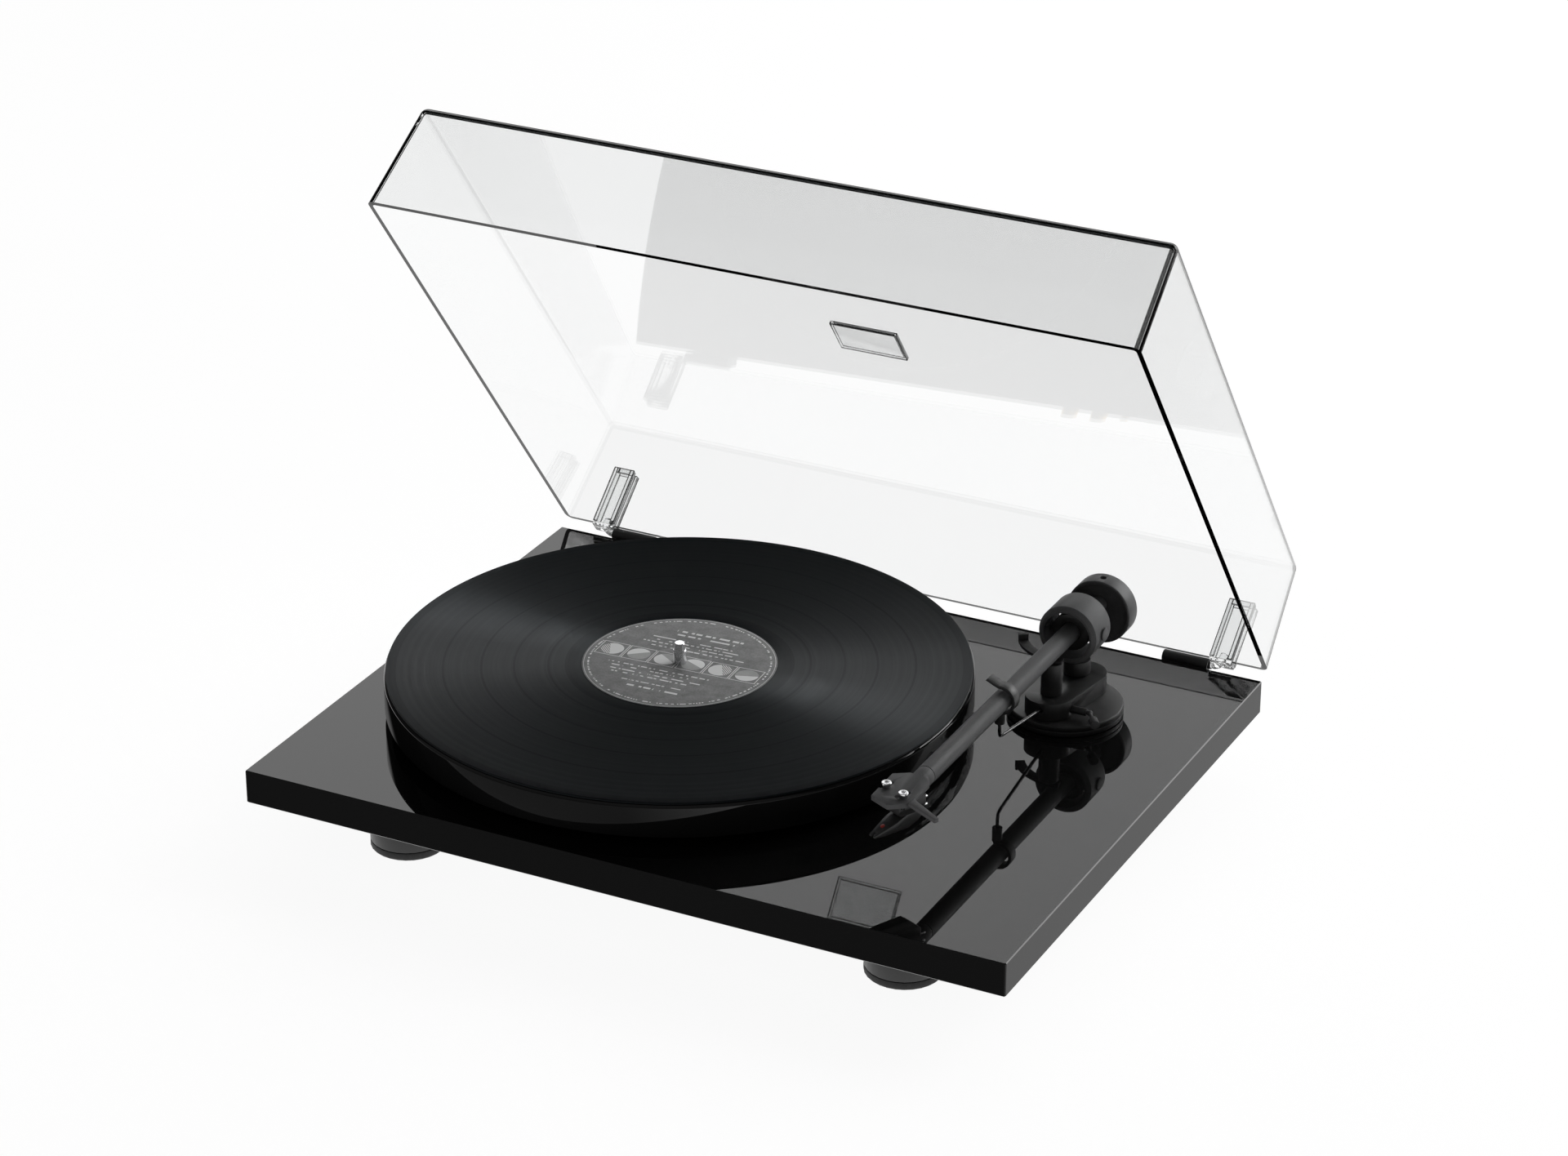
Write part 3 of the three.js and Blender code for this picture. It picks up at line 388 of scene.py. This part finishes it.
def fromNode(name, body, slotName, width, segments=2, look=None):  # a finer copy of a node, its edges rounded
    source = nodes[name]
    pickOnly(source)
    bpy.ops.object.duplicate()
    obj = bpy.context.object
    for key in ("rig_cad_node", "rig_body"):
        if key in obj:
            del obj[key]
    obj.parent = None
    editStart(obj)
    bpy.ops.mesh.select_all(action="SELECT")
    bpy.ops.mesh.remove_doubles(threshold=2e-6)
    bpy.ops.mesh.dissolve_limited(angle_limit=math.radians(0.6))
    bpy.ops.object.mode_set(mode="OBJECT")
    if width:
        roundEdges(obj, width, segments)
    return done(obj, name + "_fine", slotName, body, name, look=look)


# Round piece built from a cylinder whose top is drawn on from step to step; steps are (radius, height)
def turnedPiece(centre, steps, sides, axis="Z", under=()):
    (r0, z0), (r1, z1) = steps[0], steps[1]
    bpy.ops.object.select_all(action="DESELECT")
    middle = (0, 0, (z0 + z1) / 2)
    bpy.ops.mesh.primitive_cylinder_add(vertices=sides, radius=r0, depth=z1 - z0, location=middle)
    obj = bpy.context.object
    bpy.ops.object.transform_apply(location=True)
    editStart(obj)
    upper = [(r0, z1), *([] if r0 == r1 else [(r1, z1)]), *steps[2:]]
    for side, path in ((1, upper), (-1, [(r0, z0), *under])):
        selectFaces(obj, lambda face: face.normal.z * side > 0.9 and face.calc_center_median().xy.length < 1e-5)
        for (oldR, oldZ), (newR, newZ) in zip(path, path[1:]):
            bpy.ops.mesh.extrude_region_move(TRANSFORM_OT_translate={"value": (0, 0, newZ - oldZ)})
            grow = newR / oldR
            bpy.ops.transform.resize(value=(grow, grow, 1), center_override=(0, 0, newZ))
    editEnd(False)
    if axis == "Y":
        obj.rotation_euler.x = -math.pi / 2
    obj.location = centre
    bpy.ops.object.transform_apply(location=True, rotation=True)
    return obj


def block(low, high):
    bpy.ops.object.select_all(action="DESELECT")
    middle = [(a + b) / 2 for a, b in zip(low, high)]
    bpy.ops.mesh.primitive_cube_add(size=1, location=middle)
    obj = bpy.context.object
    obj.scale = [b - a for a, b in zip(low, high)]
    bpy.ops.object.transform_apply(location=True, scale=True)
    return obj


def cutAway(obj, point, normal):  # cuts off what lies on the side the normal points to
    editStart(obj)
    bpy.ops.mesh.select_all(action="SELECT")
    bpy.ops.mesh.bisect(plane_co=point, plane_no=normal, use_fill=True, clear_outer=True)
    editEnd()


def carve(obj, tool):  # cuts the tool's shape out of a piece
    pickOnly(obj)
    bite = obj.modifiers.new("bite", "BOOLEAN")
    bite.operation = "DIFFERENCE"
    bite.solver = "EXACT"
    bite.object = tool
    bpy.ops.object.modifier_apply(modifier=bite.name)
    bpy.data.objects.remove(tool)


def tube(points, radius):  # round wire through the points
    bpy.ops.object.select_all(action="DESELECT")
    bpy.ops.curve.primitive_nurbs_path_add(location=(0, 0, 0))
    obj = bpy.context.object
    obj.data.splines.clear()
    spline = obj.data.splines.new("BEZIER")
    spline.bezier_points.add(len(points) - 1)
    for bezier, point in zip(spline.bezier_points, points):
        bezier.co = point
        bezier.handle_left_type = bezier.handle_right_type = "AUTO"
    obj.data.dimensions = "3D"
    obj.data.bevel_depth = radius
    obj.data.bevel_resolution = 6
    obj.data.resolution_u = 10
    obj.data.use_fill_caps = True
    bpy.ops.object.convert(target="MESH")
    obj = bpy.context.object
    editStart(obj)
    editEnd()
    return obj


def joined(*objs):
    pickOnly(objs[0])
    for other in objs[1:]:
        other.select_set(True)
    bpy.ops.object.join()
    return bpy.context.object


def paintEdgeShade(obj, edgeShadeOf):  # stores for each face how much painted shade darkens the sheet's edge there, standing in for the dark reflections in bent clear edges
    mask = obj.data.attributes.new("edge", "FLOAT", "FACE")
    for face in obj.data.polygons:
        mask.data[face.index].value = edgeShadeOf(face)


def swungOpen(obj):  # turns a piece modelled with the cover shut to where it stands
    turn = Matrix.Translation(hinge) @ Matrix.Rotation(-openAngle, 4, "X") @ Matrix.Translation(-hinge)
    obj.data.transform(turn)
    return obj


def makeCover():
    size = {"width": 416 * mm, "depth": 318.3 * mm, "height": 61.4 * mm, "wall": 2.6 * mm, "round": 4.2 * mm}
    lean = math.tan(math.radians(2.9)) * size["height"]
    back = hinge.y + 0.15 * mm
    bottom = deck + 4.3 * mm
    top = bottom + size["height"]
    obj = block((-size["width"] / 2, back - size["depth"], bottom), (size["width"] / 2, back, top))
    editStart(obj)
    selectFaces(obj, lambda face: face.normal.z > 0.9)
    scale = (1 - 2 * lean / size["width"], 1 - 2 * lean / size["depth"], 1)
    bpy.ops.transform.resize(value=scale, center_override=(0, back - size["depth"] / 2, top))
    bpy.ops.mesh.select_mode(type="EDGE")
    selectEdges(obj, lambda edge: max(v.co.z for v in edge.verts) > top - 1e-5)
    bpy.ops.mesh.bevel(offset=size["round"], segments=6, profile=0.5, affect="EDGES")
    bpy.ops.mesh.select_mode(type="FACE")
    selectFaces(obj, lambda face: face.normal.z < -0.9)
    bpy.ops.mesh.delete(type="FACE")
    editEnd()
    wall = obj.modifiers.new("wall", "SOLIDIFY")
    wall.thickness = size["wall"]
    wall.offset = -1
    wall.use_even_offset = True
    bpy.ops.object.modifier_apply(modifier=wall.name)
    front = back - size["depth"]

    # painted shade: how dark the cover's bent edges and the rim round its opening are drawn, standing in for
    # the dark reflections in the clear sheet's edges
    def edgeShadeOf(face):
        n, at = face.normal, face.center
        bent = max(abs(n.x), abs(n.y), abs(n.z)) < 0.985
        if n.z < -0.9 and at.z < bottom + 1e-4:  # rim round the opening
            return 0.985 if at.y < front + 5 * mm or at.x < -0.2 else 0.85
        if not bent:
            return 0.0
        if at.y < front + 12 * mm and at.z > top - 8 * mm:
            return 1.0
        if at.y < front + 12 * mm:
            return 1.0 if at.x < 0 else 0.9
        return 0.85 if at.x > 0.2 else 0.05
    paintEdgeShade(obj, edgeShadeOf)
    swungOpen(obj)
    done(obj, "cover_shell", "clear", "lid", "dust_cover", smooth=24)

    middle = back - size["depth"] / 2
    badge = block((-19 * mm, middle - 12 * mm, top + 0.1 * mm), (19 * mm, middle + 12 * mm, top + 2.3 * mm))
    editStart(badge)
    selectFaces(badge, lambda face: face.normal.z > 0.9)
    bpy.ops.mesh.inset(thickness=1.6 * mm)
    bpy.ops.mesh.extrude_region_move(TRANSFORM_OT_translate={"value": (0, 0, -0.7 * mm)})
    editEnd()
    roundEdges(badge, 0.4 * mm, 3)
    # painted shade: the plaque's bent faces drawn dark, standing in for the dark reflections in clear edges
    paintEdgeShade(badge, lambda part: 0.96 if max(abs(a) for a in part.normal) < 0.97 else 0.0)
    swungOpen(badge)
    done(badge, "cover_plaque", "clear", "lid", "cover_badge")


# Clear clip: two plates over the back wall joined under its edge, and a rod that bends up from the barrel
def makeClip(side, sign):
    size = {"inner": 176.6 * mm, "width": 12.6 * mm, "plate": 2.2 * mm, "height": 33 * mm, "rod": 2.1 * mm}
    bottom = deck + 4.3 * mm
    front = hinge.y + 0.15 * mm - 2.6 * mm - 0.3 * mm
    rear = hinge.y + 0.45 * mm
    left, right = sorted((sign * size["inner"], sign * (size["inner"] + size["width"])))
    lean = math.tan(math.radians(2.9))
    low = (left, front - size["plate"], bottom - 2.8 * mm)
    web = block(low, (right, rear + size["plate"], bottom - 0.3 * mm))
    editStart(web)
    for at in (front - size["plate"] / 2, rear + size["plate"] / 2):
        width = size["plate"] / 2
        for cutY in (at - width, at + width):
            bpy.ops.mesh.select_all(action="SELECT")
            bpy.ops.mesh.bisect(plane_co=(0, cutY, 0), plane_no=(0, 1, 0))
        selectFaces(web, lambda f: f.normal.z > 0.9 and abs(f.calc_center_median().y - at) < width)
        rise = (0, -size["height"] * lean, size["height"])
        bpy.ops.mesh.extrude_region_move(TRANSFORM_OT_translate={"value": rise})
    editEnd()
    roundEdges(web, 0.45 * mm, 2, 40)
    # raised rails down both edges of each plate, and a bar across their tops
    rails = []
    head = bottom + size["height"]
    for face in (rear + size["plate"] - 0.1 * mm, front - size["plate"] - 1.2 * mm):
        for x0, x1, z0 in (
            (left, left + 2.6 * mm, bottom - 1 * mm),
            (right - 2.6 * mm, right, bottom - 1 * mm),
            (left + 2 * mm, right - 2 * mm, head - 3.4 * mm),
        ):
            rail = block((x0, face, z0), (x1, face + 1.3 * mm, head))
            for vertex in rail.data.vertices:
                vertex.co.y -= max(vertex.co.z - bottom, 0) * lean
            roundEdges(rail, 0.5 * mm, 3)
            # painted shade: the rails' bent faces drawn dark, standing in for the dark reflections in clear
            # edges
            paintEdgeShade(rail, lambda part: 0.93 if max(abs(a) for a in part.normal) < 0.97 else 0.0)
            rails.append(rail)
    bends = ((-17, 0, 0), (-4, 0, 0), (1.5, 0, 0.3), (5.6, 0.6, 3), (6.3, 1.4, 7))  # from its inner edge
    path = [(sign * (size["inner"] + x * mm), hinge.y + y * mm, hinge.z + z * mm) for x, y, z in bends]
    rod = tube(path, size["rod"])
    clip = swungOpen(joined(web, *rails, rod))
    done(clip, "clip_" + side, "clear", "lid", "hinge_clip_" + side)


def makePlatter():
    base, top = deck + 5.8 * mm, deck + 23 * mm
    r = 150.3 * mm
    steps = [
        (r, base), (r, top - 1.2 * mm), (r - 1.2 * mm, top), (148 * mm, top), (148 * mm, top - 1.8 * mm),
        (4.3 * mm, top - 1.8 * mm),
    ]
    under = [(138 * mm, base), (138 * mm, top - 5.8 * mm), (4.3 * mm, top - 5.8 * mm)]
    obj = turnedPiece((*spindle, 0), steps, 288, under=under)
    roundEdges(obj, 0.25 * mm, 2)
    done(obj, "platter_rim", "gloss_black", "platter_assembly", "platter", smooth=28, look="platter_gloss")


def makeRecord():
    low, top = deck + 23.2 * mm, deck + 24.4 * mm
    r = 149.3 * mm
    steps = [
        (r - 0.4 * mm, low), (r - 0.4 * mm, low + 0.1 * mm), (r, low + 0.35 * mm), (r, top - 0.35 * mm),
        (r - 0.4 * mm, top), (r - 4.5 * mm, top), (r - 5.2 * mm, top - 0.22 * mm),
        (58.5 * mm, top - 0.22 * mm), (57 * mm, top - 0.12 * mm), (51.5 * mm, top - 0.12 * mm),
        (51 * mm, top - 0.3 * mm), (3.8 * mm, top - 0.3 * mm),
    ]
    obj = turnedPiece((*spindle, 0), steps, 288)
    done(obj, "record_disc", "vinyl", "platter_assembly", "record", smooth=28)

    steps = [
        (49.8 * mm, top - 0.2 * mm), (49.8 * mm, top - 0.02 * mm), (49.5 * mm, top + 0.05 * mm),
        (17.6 * mm, top + 0.05 * mm), (17.2 * mm, top - 0.03 * mm), (16.6 * mm, top - 0.03 * mm),
        (16.2 * mm, top + 0.05 * mm), (3.8 * mm, top + 0.05 * mm),
    ]
    label = turnedPiece((*spindle, 0), steps, 160)
    done(label, "record_paper", "label_paper", "platter_assembly", "record_label", smooth=20)

    steps = [
        (4 * mm, deck - 23 * mm), (4 * mm, deck + 21.2 * mm), (3.55 * mm, deck + 21.2 * mm),
        (3.55 * mm, top + 7 * mm), (3.25 * mm, top + 7.3 * mm), (3.0 * mm, top + 7.3 * mm),
        (2.75 * mm, top + 10.7 * mm), (2.4 * mm, top + 11.15 * mm), (1.2 * mm, top + 11.2 * mm),
    ]
    pin = turnedPiece((*spindle, 0), steps, 64)
    done(pin, "spindle_pin", "bright_steel", "platter_assembly", "platter_spindle", smooth=30)


headTurn = math.radians(-26)
headAt = Vector((pivot.x - 4.2 * mm, pivot.y - 207.1 * mm, 0))


def ontoHead(obj):  # from the cartridge's own lines to its place under the headshell
    obj.data.transform(Matrix.Translation(headAt) @ Matrix.Rotation(headTurn, 4, "Z"))
    return obj


def makeCartridge():
    size = {
        "halfWidth": 4.5 * mm, "noseWidth": 2.1 * mm, "nose": -13.2 * mm, "tail": 14 * mm,
        "slope": math.radians(22.8), "dotFrom": 6.7 * mm,
    }
    low, tip = deck + 25.5 * mm, deck + 26.4 * mm
    body = block((-size["halfWidth"], size["nose"], low), (size["halfWidth"], size["tail"], deck + 36 * mm))
    cutAway(body, (0, size["nose"], tip), (0, -math.sin(size["slope"]), math.cos(size["slope"])))
    cutAway(body, (0, 7 * mm, low), (0, 0.63, -0.78))
    for side in (-1, 1):
        cutAway(body, (side * size["noseWidth"], size["nose"], 0), (side * 0.978, -0.21, 0))
        cutAway(body, (side * (size["halfWidth"] - 0.5 * mm), 0, low + 2.2 * mm), (side * 0.9, 0, -0.43))
    nose = size["nose"]
    carve(body, block((-0.75 * mm, nose - 1 * mm, low - 1 * mm), (0.75 * mm, nose + 2.6 * mm, tip + 4 * mm)))
    roundEdges(body, 0.22 * mm, 2)
    done(ontoHead(body), "stylus_guard", "stylus_body", "arm_wand", "stylus_unit")

    upper = block((-7.6 * mm, -2.5 * mm, deck + 33.5 * mm), (7.6 * mm, 13.4 * mm, deck + 43.8 * mm))
    cutAway(upper, (0, -2.5 * mm, deck + 36.5 * mm), (0, -0.7, -0.72))
    for side in (-1, 1):
        cutAway(upper, (side * 7.6 * mm, 0, deck + 38.5 * mm), (side * 0.85, 0, -0.53))
    roundEdges(upper, 0.35 * mm, 3)
    done(ontoHead(upper), "cartridge_body", "dark_plastic", "arm_wand", "cartridge")

    for index, (x, z) in enumerate(((-3.4, 35.2), (3.4, 35.2), (-3.4, 39.4), (3.4, 39.4))):
        steps = [(0.65 * mm, 0), (0.65 * mm, 3.6 * mm), (0.4 * mm, 4.0 * mm)]
        pin = turnedPiece((x * mm, 13.3 * mm, deck + z * mm), steps, 20, "Y")
        done(ontoHead(pin), "cartridge_pin_%d" % index, "bright_steel", "arm_wand")

    dotY = nose + size["dotFrom"]
    dotZ = tip + size["dotFrom"] * math.tan(size["slope"])
    dot = turnedPiece((0, 0, 0), [(1.15 * mm, -0.15 * mm), (1.15 * mm, 0.1 * mm), (1.0 * mm, 0.18 * mm)], 32)
    dot.data.transform(Matrix.Translation((-0.3 * mm, dotY, dotZ)) @ Matrix.Rotation(size["slope"], 4, "X"))
    done(ontoHead(dot), "red_mark", "stylus_body", "arm_wand", look="red_dot")

    steps = [(0.12 * mm, deck + 24.7 * mm), (0.28 * mm, deck + 25.2 * mm), (0.34 * mm, deck + 26.2 * mm)]
    needle = turnedPiece((0, -9.5 * mm, 0), steps, 16)
    done(ontoHead(needle), "stylus_needle", "bright_steel", "arm_wand")


def makeHeadScrews():
    plate = deck + 46.4 * mm
    shift = Matrix.Translation((1.5 * mm, -2.4 * mm, 0))
    for side, sign in (("left", -1), ("right", 1)):
        x = sign * 6.35 * mm
        steps = [
            (1.2 * mm, plate - 6 * mm), (1.2 * mm, plate + 0.1 * mm), (2.05 * mm, plate + 0.1 * mm),
            (2.05 * mm, plate + 1.8 * mm), (2.5 * mm, plate + 1.8 * mm), (2.5 * mm, plate + 3.1 * mm),
            (2.25 * mm, plate + 3.3 * mm), (1.45 * mm, plate + 3.3 * mm), (1.3 * mm, plate + 3.1 * mm),
        ]
        screw = turnedPiece((x, 0, 0), steps, 64)
        socketAt = (x, 0, plate + 3.2 * mm)
        bpy.ops.mesh.primitive_cylinder_add(vertices=6, radius=1.0 * mm, depth=3 * mm, location=socketAt)
        carve(screw, bpy.context.object)
        roundEdges(screw, 0.08 * mm, 2)
        ontoHead(screw).data.transform(shift)
        done(screw, "head_screw_" + side, "bright_steel", "arm_wand", "cartridge_screw_" + side)


makeCartridge()
makeHeadScrews()
makeCover()
for side, sign in (("left", -1), ("right", 1)):
    makeClip(side, sign)
makePlatter()
makeRecord()
bodies = {node: body for body, members in frame["record"]["behaviour"]["bodies"].items() for node in members}
slots = {part["node"]: part["material_slot"] for part in frame["record"]["subparts"]}
edgeWidths = {  # mm
    "arm_base": 0.35, "arm_flange": 0.35, "arm_block": 0.45, "arm_pillar": 0.3, "lift_post": 0.3,
    "lift_rail": 0.25, "lever_bush": 0.15, "cue_lever": 0.2, "rest_wire": 0, "rest_clip": 0.15,
    "bearing_ring": 0.35, "pivot_screw_left": 0.15, "pivot_screw_right": 0.15, "arm_tube": 0,
    "pivot_carrier": 0.3, "weight_stub": 0.2, "counterweight": 0.3, "weight_screw": 0.1,
    "headshell": 0.3, "hinge_barrel_left": 0.2, "hinge_barrel_right": 0.2, "foot_front_left": 0.3,
    "foot_front_right": 0.3, "foot_rear_left": 0.3, "foot_rear_right": 0.3, "foot_pad_front_left": 0.3,
    "foot_pad_front_right": 0.3, "foot_pad_rear_left": 0.3, "foot_pad_rear_right": 0.3,
}
otherLooks = {"cue_lever": "graphite", "rest_wire": "wire_steel", "pivot_carrier": "satin_black"}
for name, width in edgeWidths.items():
    fromNode(name, bodies[name], slots[name], width * mm, look=otherLooks.get(name))


def makeStudio():
    light = {"backdrop": 1.4, "room": 0.03, "front": 0.09, "floor": 0.93, "seen": 1.04}
    bpy.ops.mesh.primitive_plane_add(size=12, location=(0, 0, 0))
    floor = bpy.context.object
    floor.name = "studio_floor"
    made = Finish("floor", 0.18, Roughness=0.9, Specular_IOR_Level=0.1, Emission_Strength=light["floor"])
    made.shader.inputs["Emission Color"].default_value = (1, 1, 1, 1)
    tone = made.spread(made.noise(3.0), 0.3, 0.7, 0.0, 1.0)
    made.feed("Base Color", mixColor(made.tree, tone, gray(0.17), gray(0.19)))
    floor.data.materials.append(made.material)
    world = bpy.data.worlds.new("studio")
    bpy.context.scene.world = world
    world.use_nodes = True
    tree = world.node_tree
    where = addNode(tree, "ShaderNodeTexCoord", {}, {}, 0)
    parts = addNode(tree, "ShaderNodeSeparateXYZ", {}, {0: where}).socket.node.outputs
    x, y, z = [Wire(tree, parts[i]) for i in range(3)]
    smooth = {"interpolation_type": "SMOOTHSTEP"}
    below = addNode(tree, "ShaderNodeMapRange", smooth, {0: z, 1: 0.6, 2: 0.72, 3: 1.0, 4: 0.0})
    above = addNode(tree, "ShaderNodeMapRange", smooth, {0: z, 1: 0.16, 2: 0.3, 3: 0.0, 4: 1.0})
    ahead = addNode(tree, "ShaderNodeMapRange", smooth, {0: y, 1: 0.5, 2: 0.64, 3: 0.0, 4: 1.0})
    level = below * above * ahead * light["backdrop"] + light["room"] + (y < 0) * light["front"]
    seen = addNode(tree, "ShaderNodeLightPath", {}, {}, 0)
    level = level * (1 - seen) + seen * light["seen"]
    tree.links.new(level.socket, tree.nodes["Background"].inputs["Strength"])
    tree.nodes["Background"].inputs["Color"].default_value = (1, 1, 1, 1)
    for name, place, size, power in (
        ("softbox_right", (1.25, 1.95, 0.95), 1.4, 17),
    ):
        bpy.ops.object.light_add(type="AREA", location=place)
        lamp = bpy.context.object
        lamp.name = name
        lamp.data.size = size
        lamp.data.energy = power
        lamp.rotation_euler = (Vector((0, 0, 0.05)) - Vector(place)).to_track_quat("-Z", "Y").to_euler()


def makeCamera():
    bpy.ops.object.camera_add(location=(0.92947, plinthY - 1.80623, 1.1087))
    camera = bpy.context.object
    camera.name = "camera"
    camera.rotation_euler = (math.radians(64.178), 0, math.radians(26.932))
    camera.data.sensor_width = 36
    camera.data.lens = 103.9
    bpy.context.scene.camera = camera
    bpy.context.scene.view_settings.view_transform = "Standard"


makeStudio()
makeCamera()
print("studio ready")
